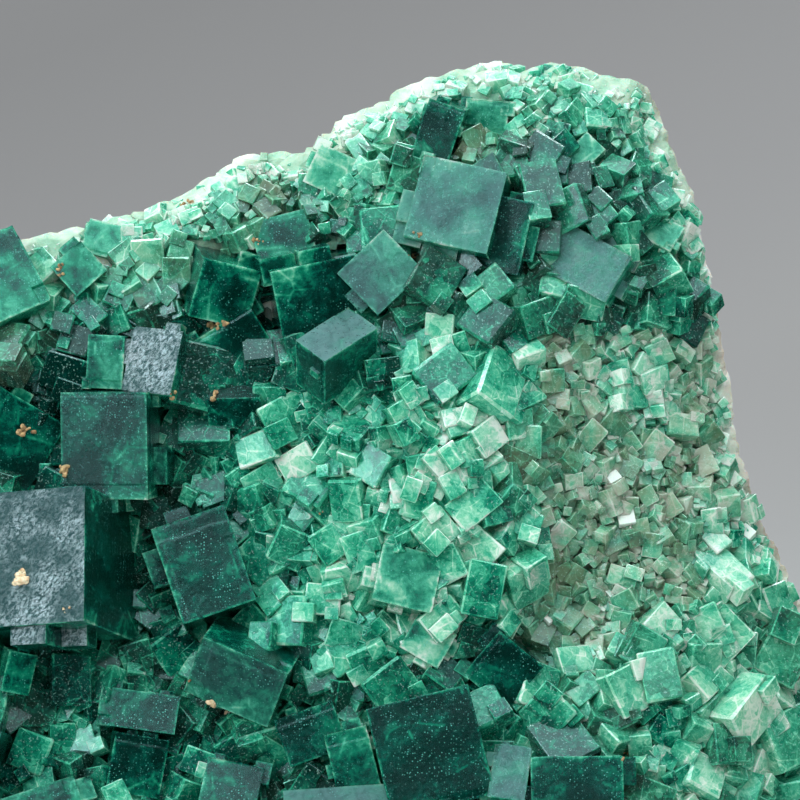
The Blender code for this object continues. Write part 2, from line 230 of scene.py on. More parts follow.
def terraces(rng, u, v, half_u, half_v):
    """Growth steps on one face: thin plates that stop short of its edges, and a corner left unfilled."""
    depth = np.zeros(len(u))
    riser = np.zeros(len(u))
    for _ in range(int(rng.integers(1, 4))):
        along, across, reach = (u, v, half_u) if rng.random() < 0.5 else (v, u, half_v)
        width = rng.uniform(0.05, 0.4) * reach
        wave = 0.07 * MM * np.sin(across * rng.uniform(500, 1500) + rng.uniform(0, 6))
        inside = width - (reach - rng.choice([-1.0, 1.0]) * along) + wave
        depth += smoothstep(inside, -0.12 * MM, 0.12 * MM) * rng.uniform(0.03, 0.12) * MM
        riser = np.maximum(riser, 0.6 * (1.0 - np.clip(np.abs(inside) / (0.2 * MM), 0.0, 1.0)))
    if rng.random() < 0.4:
        width_u, width_v = rng.uniform(0.2, 0.6) * half_u, rng.uniform(0.2, 0.6) * half_v
        from_u = width_u - (half_u - rng.choice([-1.0, 1.0]) * u)
        from_v = width_v - (half_v - rng.choice([-1.0, 1.0]) * v)
        inside = np.minimum(from_u, from_v)
        depth += smoothstep(inside, -0.12 * MM, 0.12 * MM) * rng.uniform(0.15, 0.4) * MM
        riser = np.maximum(riser, 1.0 - np.clip(np.abs(inside) / (0.2 * MM), 0.0, 1.0))
    return depth, riser


def grown_crystal(rng, axes, half, step):
    """One large crystal about the origin: points, quads, and for each point how near it is to an edge or
    step, how near to an edge in a softer way, and how far its face turns towards the light, for painted sheen."""
    half = np.array(half)
    smallest = float(half.min())
    bevel = min(0.13 * MM + 0.012 * smallest, 0.2 * smallest)
    points, quads = box_surface(half, bevel, step)
    gap = np.sort(half - np.abs(points), axis=1)[:, 1]
    edge = 1.0 - smoothstep(gap, 0.6 * bevel, bevel + 0.15 * MM)
    glow = np.exp(-gap / (0.9 * MM))
    inner = np.clip(points, -(half - bevel), half - bevel)
    outward = points - inner
    length = np.linalg.norm(outward, axis=1)
    shape = inner + outward / np.maximum(length, 1e-12)[:, None] * bevel
    riser = np.zeros(len(points))
    facing_light = np.zeros(len(points))
    for axis in range(3):
        u, v = (axis + 1) % 3, (axis + 2) % 3
        for sign in (-1.0, 1.0):
            side = points[:, axis] * sign > half[axis] - 1e-9
            # Faces towards the light get up to four times the etching and with it the painted sheen and glints; faces
            # away keep a quarter.
            facing_light[side] = 0.25 + 0.75 * smoothstep(sign * axes[axis] @ LIT_SIDE, 0.55, 0.85)
            depth, rise = terraces(rng, points[side, u], points[side, v], half[u], half[v])
            grain = np.c_[points[side, u] * 2.5, points[side, v] * 0.4, points[side, v] * 0.0]
            striae = noise_at(grain, 900.0, float(rng.uniform(0, 90)))
            swell = noise_at(points[side], 170.0, float(rng.uniform(0, 90)))
            shape[side, axis] -= sign * (depth + (0.012 * striae + 0.08 * swell + 0.06) * MM)
            riser[side] = np.maximum(riser[side], rise)
    for _ in range(int(rng.integers(2, 6))):
        shape, edge = chip(rng, shape, half, edge)
    # Edges and step risers are kept in one share, which the shaders paint as a highlight.
    return shape, quads, np.maximum(edge, 0.5 * riser), glow, facing_light


def chip(rng, shape, half, edge):
    """Breaks one corner or edge off along a rough plane."""
    signs = rng.choice([-1.0, 1.0], 3)
    if rng.random() < 0.5:
        signs[int(rng.integers(0, 3))] *= 0.1
    normal = signs / np.linalg.norm(signs)
    limit = np.abs(half * normal).sum() - rng.uniform(0.02, 0.10) * float(min(half))
    rough = 0.05 * MM * noise_at(shape, 1500.0, 0.0)
    over = shape @ normal - limit + rough
    broken = over > 0.0
    shape = shape - np.outer(np.where(broken, over, 0.0), normal)
    return shape, np.where(broken, np.maximum(edge, 0.5), edge)


class Parts:
    """Meshes gathered into one piece, with their point attributes."""

    def __init__(self):
        self.points, self.quads, self.values, self.count = [], [], {}, 0

    def add(self, points, quads, **values):
        self.points.append(points)
        self.quads.append(quads + self.count)
        self.count += len(points)
        for name, value in values.items():
            self.values.setdefault(name, []).append(np.broadcast_to(value, len(points)))

    def build(self, name):
        points = np.clip(np.concatenate(self.points), LOW + 1e-5, HIGH - 1e-5)
        obj = mesh_object(name, points, np.concatenate(self.quads))
        for key, value in self.values.items():
            add_attribute(obj, key, np.concatenate(value))
        return obj


def add_crystal(parts, rng, centre, axes, half, step, tone, frost):
    shape, quads, edge, glow, facing_light = grown_crystal(rng, axes, half, step)
    if np.linalg.det(axes) < 0:
        quads = quads[:, ::-1]
    slope = rng.normal(size=3)
    slope *= 0.07 / np.linalg.norm(slope)
    tones = tone + (shape / np.array(half)) @ slope + 0.10 * glow
    # The frosted share stored here, cut back on faces away from the light, drives real etching and painted sheen
    # alike.
    parts.add(shape @ axes + centre, quads, tone=tones, edge=edge, frost=frost * facing_light, age=rng.random())


def build_large_crystals(materials):
    for number, name in enumerate(CRYSTAL_NODES):
        rng = np.random.default_rng(900 + number)
        centre, axes, half = crystal_frame(NODES[name])
        tone = TONE.get(name, TONE_OF_SLOT[SLOT_OF[name]] + rng.uniform(-0.05, 0.05))
        frost = FROST_AND_SHEEN.get(name, PLAIN_FROST_AND_SHEEN)
        parts = Parts()
        step = max(0.3 * MM, float(max(half)) / 32.0)
        add_crystal(parts, rng, centre, axes, half, step, tone, frost)
        for _ in range(int(rng.integers(2, 6))):
            add_daughter(parts, rng, centre, axes, half, tone, frost)
        piece = parts.build(name + "_grown")
        finish_piece(piece, materials["large"], SLOT_OF[name], name)


def add_daughter(parts, rng, centre, axes, half, tone, frost):
    """A smaller crystal in nearly the same orientation, half sunk in one of the parent's flanks."""
    flanks = [i for i in range(3) if abs(axes[i][1]) < 0.6]
    axis = int(rng.choice(flanks))
    sign = float(rng.choice([-1.0, 1.0]))
    size = float(min(half)) * rng.uniform(0.22, 0.45)
    place = rng.uniform(-0.9, 0.9, 3) * half
    place[axis] = sign * (half[axis] - 0.2 * size)
    front = int(np.argmax(np.abs(axes[:, 1])))
    towards = -np.sign(axes[front][1])
    place[front] = towards * half[front] * rng.uniform(-0.2, 0.75)
    if abs(place[front]) + size > half[front] * 0.95:
        place[front] = towards * (half[front] * 0.9 - size)
    small = size * rng.uniform(0.75, 1.25, 3)
    lean = np.array(Matrix.Rotation(0.05 * rng.normal(), 3, "X") @ Matrix.Rotation(0.05 * rng.normal(), 3, "Z"))
    add_crystal(parts, rng, place @ axes + centre, axes @ lean, small, 0.4 * MM, tone + 0.12 * rng.normal(), frost)


# ---------------------------------------------------------------- druse

# The small crystals of each druse: edge in millimetres, tone and brownness.
DRUSE = {
    "druse_centre": (4.1, 0.59, 0.05),
    "druse_valley": (2.3, 0.72, 0.95),
    "druse_right_flank": (4.1, 0.55, 0.24),
    "druse_upper_right": (4.3, 0.25, 0.15),
    "druse_upper_left": (3.7, 0.58, 0.55),
    "druse_rim": (2.4, 0.55, 0.28),
    "druse_left": (4.2, 0.30, 0.08),
    "druse_foot": (4.4, 0.32, 0.08),
}
# The same between the great crystals, away from any druse.
BETWEEN = (7.2, 0.13, 0.02)
DRUSE_REACH = 3.5 * MM
# Painted glints, small crystals coloured near white where bright reflections stand: across and up in metres.
PAINTED_GLINTS = ((0.0403, 0.0767), (0.0423, 0.0714), (0.0309, 0.0574), (0.0590, 0.0690), (0.0180, 0.1290))
# Rusty hollows: across and up in metres, and how wide.
HOLLOWS = ((0.0205, 0.1235, 0.0035), (0.0300, 0.0800, 0.0050), (-0.0070, 0.1165, 0.0045), (0.0340, 0.0620, 0.0050))
# Bare broken stone along the top edge, and how far below it the crystals reach their full size.
BARE_RIM = 2.2 * MM
PALE_RIM = 5.5 * MM


def joined_tree(names):
    """A ray-cast tree over several CAD nodes, and which node each of its triangles belongs to."""
    points, faces, owner = [], [], []
    start = 0
    for name in names:
        mesh = NODES[name].data
        points.append(points_of(NODES[name]))
        for polygon in mesh.polygons:
            faces.append([start + v for v in polygon.vertices])
            owner.append(name)
        start += len(mesh.vertices)
    return BVHTree.FromPolygons(np.concatenate(points).tolist(), faces), owner


def cube_template():
    """A cube's corners, each as three points so that every edge and corner is bevelled, and its faces."""
    corners = [(x, y, z) for x in (-1, 1) for y in (-1, 1) for z in (-1, 1)]
    number = {c: i for i, c in enumerate(corners)}
    signs = np.array([c for c in corners for _ in range(3)], float)
    pulled = np.array([[axis != k for axis in range(3)] for _ in corners for k in range(3)], float)
    quads, triangles = [], []
    for axis in range(3):
        u, v = (axis + 1) % 3, (axis + 2) % 3
        for sign in (-1, 1):
            ring = []
            for su, sv in ((-1, -1), (1, -1), (1, 1), (-1, 1)):
                key = [0, 0, 0]
                key[axis], key[u], key[v] = sign, su, sv
                ring.append(3 * number[tuple(key)] + axis)
            quads.append(ring if sign > 0 else ring[::-1])
    for axis in range(3):
        u, v = (axis + 1) % 3, (axis + 2) % 3
        for su in (-1, 1):
            for sv in (-1, 1):
                key = [0, 0, 0]
                key[u], key[v] = su, sv
                key[axis] = -1
                a = number[tuple(key)]
                key[axis] = 1
                b = number[tuple(key)]
                ring = [3 * a + u, 3 * b + u, 3 * b + v, 3 * a + v]
                quads.append(ring if su * sv > 0 else ring[::-1])
    for c in corners:
        ring = [3 * number[c] + k for k in range(3)]
        triangles.append(ring if c[0] * c[1] * c[2] > 0 else ring[::-1])
    return signs, pulled, quads, triangles


SIGNS, PULLED, CUBE_QUADS, CUBE_TRIANGLES = cube_template()


def turn_matrix(rng, normal, tilt):
    """A random turn of a small crystal that grows roughly along normal."""
    spin = Matrix.Rotation(rng.uniform(0.0, 2.0 * math.pi), 3, "Y")
    lean = Matrix.Rotation(tilt * rng.normal(), 3, "X") @ Matrix.Rotation(tilt * rng.normal(), 3, "Z")
    out = Vector((0.0, -1.0, 0.0)).rotation_difference(Vector(normal)).to_matrix()
    return np.array(out @ lean @ spin)


class Carpet:
    """Small crystals gathered into one piece."""

    def __init__(self):
        self.points, self.faces, self.tone, self.edge, self.age, self.brown = [], [], [], [], [], []
        self.count = 0

    def add(self, rng, centre, turn, half, tone, brown):
        pull = rng.uniform(0.05, 0.13, 8).repeat(3) * float(min(half))
        local = SIGNS * (np.array(half) - PULLED * pull[:, None])
        local *= 1.0 + 0.02 * rng.normal(size=local.shape)
        slope = rng.normal(size=3)
        slope *= 0.13 / np.linalg.norm(slope)
        base = self.count * 24
        self.points.append(local @ turn.T + centre)
        self.faces += [[base + i for i in ring] for ring in CUBE_QUADS]
        self.faces += [[base + i for i in ring] for ring in CUBE_TRIANGLES]
        self.tone.append(tone + SIGNS @ slope)
        self.brown.append(np.full(24, brown))
        self.age.append(np.full(24, rng.random()))
        # Bevel faces get a random share of the painted edge highlight; the six flat faces none.
        self.edge += [0.0] * 6 + [rng.uniform(0.2, 1.0)] * 20
        self.count += 1

    def build(self, name):
        points = np.clip(np.concatenate(self.points), LOW + 1e-5, HIGH - 1e-5)
        obj = mesh_object(name, points, self.faces)
        add_attribute(obj, "tone", np.concatenate(self.tone))
        add_attribute(obj, "brown", np.concatenate(self.brown))
        add_attribute(obj, "age", np.concatenate(self.age))
        add_attribute(obj, "edge", np.array(self.edge), "FACE")
        return obj


class Slab:
    """The CAD slab's front face and top edge, by ray casting."""

    def __init__(self):
        self.tree, _ = joined_tree(["matrix"])
        self.step = 1.0 * MM
        self.tops = []
        x = LOW[0]
        while x <= HIGH[0] + self.step:
            z = HIGH[2]
            while z > 0.0 and self.tree.ray_cast(Vector((x, -0.2, z)), Vector((0.0, 1.0, 0.0)))[0] is None:
                z -= 0.5 * MM
            self.tops.append(z)
            x += self.step
        self.tops = np.array(self.tops)
        self.ends = []
        for z in np.arange(0.0, HIGH[2], self.step):
            x = HIGH[0]
            while x > LOW[0] and self.tree.ray_cast(Vector((x, -0.2, z + 0.1 * MM)), Vector((0.0, 1.0, 0.0)))[0] is None:
                x -= 0.5 * MM
            self.ends.append(x)
        self.ends = np.array(self.ends)

    def front(self, x, z):
        hit, normal, _, _ = self.tree.ray_cast(Vector((x, -0.2, z)), Vector((0.0, 1.0, 0.0)))
        return hit, normal

    def front_y(self, x, z):
        hit, _ = self.front(x, z)
        return hit.y if hit is not None else HIGH[1]

    def below_top(self, x, z):
        """How far a place is below the slab's top edge, taking the slope of the edge into account."""
        place = (x - LOW[0]) / self.step
        columns = np.arange(len(self.tops))
        return float(np.hypot((columns - place) * self.step, self.tops - z).min())


    def inside_end(self, x, z):
        """How far a place is to the left of the slab's right-hand end."""
        return float(np.interp(z, np.arange(len(self.ends)) * self.step, self.ends)) - x


class Druse:
    """Scatters small crystals over the slab's front."""

    def __init__(self, slab):
        self.slab = slab
        self.areas, self.owner = joined_tree(DRUSE_NODES)
        boxes = [crystal_frame(NODES[name]) for name in CRYSTAL_NODES]
        self.centres = np.array([b[0] for b in boxes])
        self.axes = np.array([b[1] for b in boxes])
        self.halves = np.array([b[2] for b in boxes])
        self.tones = np.array([TONE_OF_SLOT[SLOT_OF[name]] for name in CRYSTAL_NODES])
        self.carpets = {name: Carpet() for name in DRUSE_NODES}
        self.taken = {}

    def buried(self, point, margin):
        local = np.einsum("kij,kj->ki", self.axes, point - self.centres)
        return bool((np.abs(local) < self.halves - margin).all(1).any())

    def ground(self, point):
        """The druse that a place belongs to, and its crystals' edge, tone and brownness."""
        _, _, index, gap = self.areas.find_nearest(Vector(point))
        name = self.owner[index]
        edge, tone, brown = DRUSE[name]
        reach = self.halves.max(1) * 1.25
        near = np.linalg.norm((self.centres - point)[:, [0, 2]], axis=1) / reach
        share = float(smoothstep(gap, DRUSE_REACH, 2.5 * DRUSE_REACH)) * float(np.exp(-(near.min() ** 2) * 0.35))
        edge, tone, brown = (a + (b - a) * share for a, b in zip((edge, tone, brown), BETWEEN))
        pull = self.tones[int(near.argmin())]
        reaching = 0.45 if pull < 0.3 else 1.3
        tone += (pull + 0.04 - tone) * 0.9 * float(np.exp(-(near.min() ** 2) * reaching))
        patchy = 0.5 + 0.5 * noise.noise(Vector(point) * 95.0 + Vector((7.0, 0.0, 0.0)))
        brown *= float(smoothstep(patchy, 0.22, 0.52))
        for x, z, width in HOLLOWS:
            rust = math.exp(-((point[0] - x) ** 2 + (point[2] - z) ** 2) / width ** 2)
            brown += (1.0 - brown) * rust
            tone += (0.30 - tone) * 0.6 * rust
        edge += 1.3 * max(0.0, tone - 0.5) * 2.0 * (1.0 - brown) * (edge < 3.0)
        top = self.slab.below_top(point[0], point[2])
        if name == "druse_foot":
            tone += 0.28 * float(smoothstep(point[0], 20.0 * MM, 45.0 * MM))
        elif name == "druse_upper_left":
            deep = float(smoothstep(top, 8.0 * MM, 18.0 * MM))
            tone -= 0.36 * deep
            brown *= 1.0 - deep
        rim = 1.0 - float(smoothstep(top, BARE_RIM, PALE_RIM))
        edge += (2.0 - edge) * rim
        tone += (0.82 - tone) * rim
        return name, edge * MM, tone, brown * (1.0 - 0.6 * rim), top

    def crowded(self, x, z, edge, spread):
        cell = (int(x // (4 * MM)), int(z // (4 * MM)))
        for i in (-1, 0, 1):
            for j in (-1, 0, 1):
                for ox, oz, oe in self.taken.get((cell[0] + i, cell[1] + j), ()):
                    if math.hypot(x - ox, z - oz) < spread * (edge + oe) * 0.5:
                        return True
        self.taken.setdefault(cell, []).append((x, z, edge))
        return False

    def scatter(self, rng, tries, scale, spread, lift, twins):
        for _ in range(tries):
            x = rng.uniform(LOW[0], HIGH[0])
            z = rng.uniform(2.0 * MM, HIGH[2])
            hit, normal = self.slab.front(x, z)
            if hit is None or normal.y > -0.2:
                continue
            point = np.array(hit) + np.array(normal) * lift
            name, edge, tone, brown, top = self.ground(point)
            if top < BARE_RIM * rng.uniform(0.6, 1.5):
                continue
            edge *= scale * float(np.exp(rng.normal() * 0.22))
            if self.slab.inside_end(x, z) < 0.75 * edge or top < 0.45 * edge:
                continue
            if self.crowded(x, z, edge, spread):
                continue
            point += np.array(normal) * 0.10 * edge
            if self.buried(point, 0.15 * edge) or point[2] < 0.75 * edge:
                continue
            half = edge / 2.0 * rng.uniform(0.75, 1.2, 3)
            turn = turn_matrix(rng, normal, 0.34)
            own = tone + 0.09 * rng.normal()
            carpet = self.carpets[name]
            brown *= 0.75
            carpet.add(rng, point, turn, half, own, brown)
            for _ in range(int(rng.integers(0, twins + 1))):
                side = rng.choice([-1.0, 1.0], 3) * half * rng.uniform(0.3, 0.95, 3)
                twin = turn @ np.array(Matrix.Rotation(rng.normal() * 0.08, 3, "Y"))
                carpet.add(rng, point + turn @ side, twin, half * rng.uniform(0.3, 0.65),
                           own + 0.07 * rng.normal(), brown)


    def scatter_rim(self, rng, tries):
        """Splintered pale crystals, turned every way, along the slab's top edge."""
        for _ in range(tries):
            x = rng.uniform(LOW[0], HIGH[0])
            z = float(np.interp(x, LOW[0] + np.arange(len(self.slab.tops)) * self.slab.step, self.slab.tops))
            z -= (0.9 + abs(rng.normal()) * 2.4) * MM
            hit, normal = self.slab.front(x, z)
            if hit is None or self.slab.inside_end(x, z) < 1.5 * MM:
                continue
            edge = 1.35 * MM * float(np.exp(rng.normal() * 0.35))
            if self.crowded(x, z, edge, 0.45):
                continue
            point = np.array(hit) + np.array(normal) * 0.5 * MM
            name = self.owner[self.areas.find_nearest(Vector(point))[2]]
            half = edge / 2.0 * rng.uniform(0.5, 1.3, 3)
            turn = turn_matrix(rng, normal, 0.9)
            self.carpets[name].add(rng, point, turn, half, 0.78 + 0.13 * rng.normal(), 0.15 * rng.random())


    def set_painted_glints(self, rng):
        """A few small crystals turned towards the light and coloured near white, as painted glints."""
        for x, z in PAINTED_GLINTS:
            hit, normal = self.slab.front(x, z)
            point = np.array(hit) + np.array(normal) * 2.2 * MM
            name = self.owner[self.areas.find_nearest(Vector(point))[2]]
            turn = turn_matrix(rng, (0.0, -0.85, 0.53), 0.12)
            half = rng.uniform(0.75, 1.25, 3) * MM
            # A tone past the top of the ramp gives the palest colour, the white of a painted glint.
            self.carpets[name].add(rng, point, turn, half, 1.35, 0.0)


def build_druse(materials, druse):
    rng = np.random.default_rng(77)
    druse.scatter(rng, 2500, 1.25, 0.72, 1.0 * MM, 5)
    druse.scatter(rng, 9000, 1.00, 0.54, 1.2 * MM, 4)
    druse.scatter(rng, 22000, 0.60, 0.58, 1.6 * MM, 2)
    druse.scatter_rim(rng, 5000)
    druse.set_painted_glints(np.random.default_rng(31))
    for name, carpet in druse.carpets.items():
        print("CARPET", name, carpet.count)
        piece = carpet.build(name + "_crystals")
        finish_piece(piece, materials["small"], SLOT_OF[name], name)


# ---------------------------------------------------------------- matrix

def broken_facets(place, scale):
    """A height made of flat slanted panes, as where stone breaks, from 0 to about 1."""
    distances, centres = noise.voronoi(place * scale)
    centre = centres[0]
    slant = noise.noise_vector(centre * 7.3)
    return max(0.0, 0.45 + 0.9 * (place * scale - centre).dot(slant) + 0.35 * noise.noise(centre * 3.1))


def build_matrix(materials, druse):
    """The slab with rough broken sides and back, and its front a crust that fills the druse's gaps."""
    mesh = NODES["matrix"].data.copy()
    obj = bpy.data.objects.new("matrix_rough", mesh)
    bpy.context.scene.collection.objects.link(obj)
    remesh = obj.modifiers.new("remesh", "REMESH")
    remesh.mode = "VOXEL"
    remesh.voxel_size = 0.9 * MM
    graph = bpy.context.evaluated_depsgraph_get()
    fine = bpy.data.meshes.new_from_object(obj.evaluated_get(graph))
    obj.modifiers.clear()
    obj.data = fine
    points = points_of(obj)
    normals = np.empty(len(points) * 3, np.float32)
    fine.vertex_normals.foreach_get("vector", normals)
    normals = normals.reshape(-1, 3).astype(float)
    front = smoothstep(-normals[:, 1], 0.2, 0.7)
    grounds = [druse.ground(p) for p in points]
    rim = 1.0 - smoothstep(np.array([g[4] for g in grounds]), 0.6 * BARE_RIM, 1.4 * PALE_RIM)
    end = np.array([druse.slab.inside_end(p[0], p[2]) for p in points])
    bare_end = 1.0 - smoothstep(end, 0.8 * MM, 2.8 * MM)
    depth_in = points[:, 1] - np.array([druse.slab.front_y(p[0], p[2]) for p in points])
    rim *= 1.0 - 0.8 * smoothstep(depth_in, 4.0 * MM, 14.0 * MM)
    rim *= 1.0 - 0.8 * smoothstep(normals[:, 0], 0.35, 0.8)
    rim *= 1.0 - 0.9 * bare_end * smoothstep(HIGH[2] - points[:, 2], 14.0 * MM, 26.0 * MM)
    behind = smoothstep(normals[:, 1], 0.2, 0.7)
    settled = smoothstep(points[:, 2], 0.5 * MM, 7.0 * MM)
    moved = points.copy()
    for i, p in enumerate(points):
        v = Vector(p)
        blocks = broken_facets(v, 85.0) * 2.2 + broken_facets(v + Vector((3.0, 0.0, 0.0)), 240.0) * 0.9
        grain = noise.turbulence(v * 700.0, 3, False) * 0.5
        inward = (blocks + grain) * (1.0 - 0.5 * rim[i]) * (1.0 - 0.35 * front[i] + 0.7 * behind[i])
        moved[i] -= normals[i] * (inward - 1.7 * front[i]) * settled[i] * MM
    foot = points[:, 2] < 0.9 * MM
    moved[foot] = points[foot]
    moved[foot & (normals[:, 2] < -0.5), 2] = 0.0
    moved = np.clip(moved, LOW, HIGH)
    fine.vertices.foreach_set("co", moved.astype(np.float32).ravel())
    fine.polygons.foreach_set("use_smooth", np.full(len(fine.polygons), False))
    fine.update()
    add_attribute(obj, "tone", [g[2] for g in grounds])
    add_attribute(obj, "brown", [g[3] for g in grounds])
    add_attribute(obj, "rim", rim)
    add_attribute(obj, "front", front * (1.0 - bare_end))
    finish_piece(obj, materials["matrix"], "matrix_stone", "matrix")


# ---------------------------------------------------------------- iron stains and buff crumbs

# Where dirt sits: a crystal, a place across and up its box as shares, the spread of the grains in
# millimetres, how many there are and how large each is.
STAINS = (
    ("cube_proud", -0.03, 0.72, (0.5, 1.4), 16, 0.34),
    ("cube_proud", -0.06, 0.45, (0.4, 1.6), 14, 0.32),
    ("cube_proud", 0.12, 0.16, (1.6, 0.5), 10, 0.24),
    ("cube_proud", 1.06, 0.30, (0.4, 1.8), 9, 0.22),
    ("cube_left_end", 1.0, 0.98, (1.0, 0.9), 12, 0.36),
    ("cube_left_end", 1.06, 0.70, (0.5, 1.4), 8, 0.30),
    ("cube_frosted", 1.10, 1.0, (1.6, 0.6), 14, 0.34),
    ("cube_frosted", 1.12, 0.2, (0.5, 1.2), 8, 0.26),
    ("cube_left_speckled", -0.34, 0.62, (0.9, 0.6), 12, 0.36),
    ("cube_left_speckled", 0.02, 0.26, (1.2, 0.8), 18, 0.40),
    ("cube_left_speckled", 1.05, 0.9, (0.6, 0.8), 8, 0.26),
    ("block_mint", 1.12, 0.55, (0.5, 2.4), 14, 0.26),
    ("block_mint", -0.75, 0.9, (0.9, 1.8), 12, 0.28),
    ("block_mint", -0.40, 1.35, (1.4, 0.8), 10, 0.26),
    ("cube_rounded", -0.45, 0.75, (1.4, 0.8), 12, 0.34),
    ("cube_rounded", -0.9, 1.1, (1.2, 0.8), 10, 0.34),
    ("cube_upper_left", 0.9, 1.0, (1.4, 0.8), 10, 0.30),
    ("cube_tilted_square", 0.95, 0.95, (0.8, 0.8), 8, 0.26),
    ("cube_behind_proud", 1.0, 0.35, (0.8, 1.6), 9, 0.24),
    ("cube_grey_ledge", 0.02, 0.5, (0.6, 1.4), 8, 0.24),
    ("cube_bottom_great", 0.1, 1.02, (1.6, 0.6), 10, 0.26),
    ("cube_lower_right", 1.0, 0.95, (1.0, 1.0), 10, 0.28),
)
CRUMBS = (
    ("cube_left_great", 0.36, 0.47, (0.7, 1.0), 26, 0.55),
    ("cube_grey_ledge", 0.24, 0.20, (0.6, 0.7), 12, 0.45),
    ("cube_grey_ledge", 0.36, 0.10, (0.6, 0.5), 12, 0.45),
    ("cube_left_great", 0.62, 0.30, (0.5, 0.4), 5, 0.22),
)


def grain(parts, rng, centre, size):
    """One rough crumb."""
    half = size * MM * rng.uniform(0.5, 1.0, 3)
    points, quads = box_surface(half, 0.3 * float(half.min()), float(half.max()) * 0.7)
    length = np.linalg.norm(points / half, axis=1)
    points = points / np.maximum(length, 0.1)[:, None] * 1.15
    points *= (1.0 + 0.35 * noise_at(points, 2.2 / (size * MM), float(rng.uniform(0, 90))))[:, None]
    turn = np.array(Matrix.Rotation(rng.uniform(0, 6.28), 3, "X") @ Matrix.Rotation(rng.uniform(0, 6.28), 3, "Y"))
    parts.add(points @ turn.T + centre, quads, age=rng.random())


def build_grains(name, table, material, slot, seed):
    rng = np.random.default_rng(seed)
    surface, _ = joined_tree(sorted(NODES))
    parts = Parts()
    for node, across, up, spread, count, size in table:
        low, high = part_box(node)
        middle_x = low[0] + (high[0] - low[0]) * across
        middle_z = low[2] + (high[2] - low[2]) * up
        for _ in range(count):
            x = middle_x + rng.normal() * spread[0] * 0.5 * MM
            z = middle_z + rng.normal() * spread[1] * 0.5 * MM
            hit = surface.ray_cast(Vector((x, -0.2, z)), Vector((0.0, 1.0, 0.0)))[0]
            if hit is not None:
                own = 0.8 * size * float(np.exp(rng.normal() * 0.35))
                grain(parts, rng, np.array(hit) + np.array((0.0, 0.15 * own * MM, 0.0)), own)
    piece = parts.build(name)
    finish_piece(piece, material, slot)


# ---------------------------------------------------------------- materials

class Nodes:
    """A small helper for building a material's node tree."""

    def __init__(self, name):
        self.material = bpy.data.materials.new(name)
        self.material.use_nodes = True
        self.tree = self.material.node_tree
        self.shader = self.tree.nodes["Principled BSDF"]

    def new(self, kind, **inputs):
        node = self.tree.nodes.new(kind)
        for key, value in inputs.items():
            self.feed(node, key.replace("_", " "), value)
        return node

    def feed(self, node, key, value):
        socket = node.inputs[int(key)] if key.isdigit() else node.inputs[key]
        if isinstance(value, bpy.types.NodeSocket):
            self.tree.links.new(value, socket)
        else:
            socket.default_value = value

    def math(self, operation, a, b=0.5, clamp=False):
        node = self.tree.nodes.new("ShaderNodeMath")
        node.operation = operation
        node.use_clamp = clamp
        self.feed(node, "0", a)
        self.feed(node, "1", b)
        return node.outputs[0]

    def attribute(self, name):
        node = self.tree.nodes.new("ShaderNodeAttribute")
        node.attribute_name = name
        return node.outputs["Fac"]

    def noise(self, vector, scale, detail=3.0, rough=0.5, distort=0.0):
        node = self.new("ShaderNodeTexNoise", Vector=vector, Scale=scale, Detail=detail, Roughness=rough,
                        Distortion=distort)
        return node.outputs["Fac"]

    def ramp(self, factor, stops, mode="LINEAR"):
        node = self.tree.nodes.new("ShaderNodeValToRGB")
        node.color_ramp.interpolation = mode
        elements = node.color_ramp.elements
        while len(elements) < len(stops):
            elements.new(0.5)
        for element, (place, colour) in zip(elements, stops):
            element.position = place
            element.color = (*colour, 1.0) if len(colour) == 3 else colour
        self.tree.links.new(factor, node.inputs["Fac"])
        return node.outputs["Color"]

    def mix(self, factor, a, b):
        node = self.tree.nodes.new("ShaderNodeMix")
        node.data_type = "RGBA"
        self.feed_colour(node, factor, a, b)
        return node.outputs[2]

    def feed_colour(self, node, factor, a, b):
        for index, value in ((0, factor), (6, a), (7, b)):
            if isinstance(value, bpy.types.NodeSocket):
                self.tree.links.new(value, node.inputs[index])
            elif isinstance(value, tuple):
                node.inputs[index].default_value = (*value, 1.0)
            else:
                node.inputs[index].default_value = value

    def bump(self, height, distance, strength=1.0, normal=None):
        node = self.new("ShaderNodeBump", Height=height, Distance=distance, Strength=strength)
        if normal is not None:
            self.tree.links.new(normal, node.inputs["Normal"])
        return node.outputs["Normal"]


FLUORITE_STOPS = [
    (0.0, (0.0002, 0.028, 0.020)),
    (0.20, (0.0006, 0.082, 0.057)),
    (0.40, (0.004, 0.25, 0.143)),
    (0.60, (0.070, 0.50, 0.305)),
    (0.80, (0.33, 0.73, 0.50)),
    (1.0, (0.84, 0.94, 0.80)),
]
BROWN = (0.21, 0.225, 0.125)
STREAK_SLANT = 0.75


def black_to_white(low, high, floor=0.0):
    return [(low, (floor, floor, floor)), (high, (1.0, 1.0, 1.0))]


def fluorite_base(name, transmission, subsurface, coat):
    """The parts that both fluorites share: a Principled shader of fluorite's own gloss and depth."""
    n = Nodes(name)
    n.feed(n.shader, "IOR", 1.434)
    n.feed(n.shader, "Specular Tint", (0.50, 0.94, 1.0, 1.0))
    n.feed(n.shader, "Transmission Weight", transmission)
    n.feed(n.shader, "Subsurface Weight", subsurface)
    n.shader.inputs["Subsurface Radius"].default_value = (0.5, 1.0, 0.85)
    n.feed(n.shader, "Subsurface Scale", 1.5 * MM)
    n.feed(n.shader, "Coat Weight", coat)
    n.feed(n.shader, "Coat Roughness", 0.07)
    return n


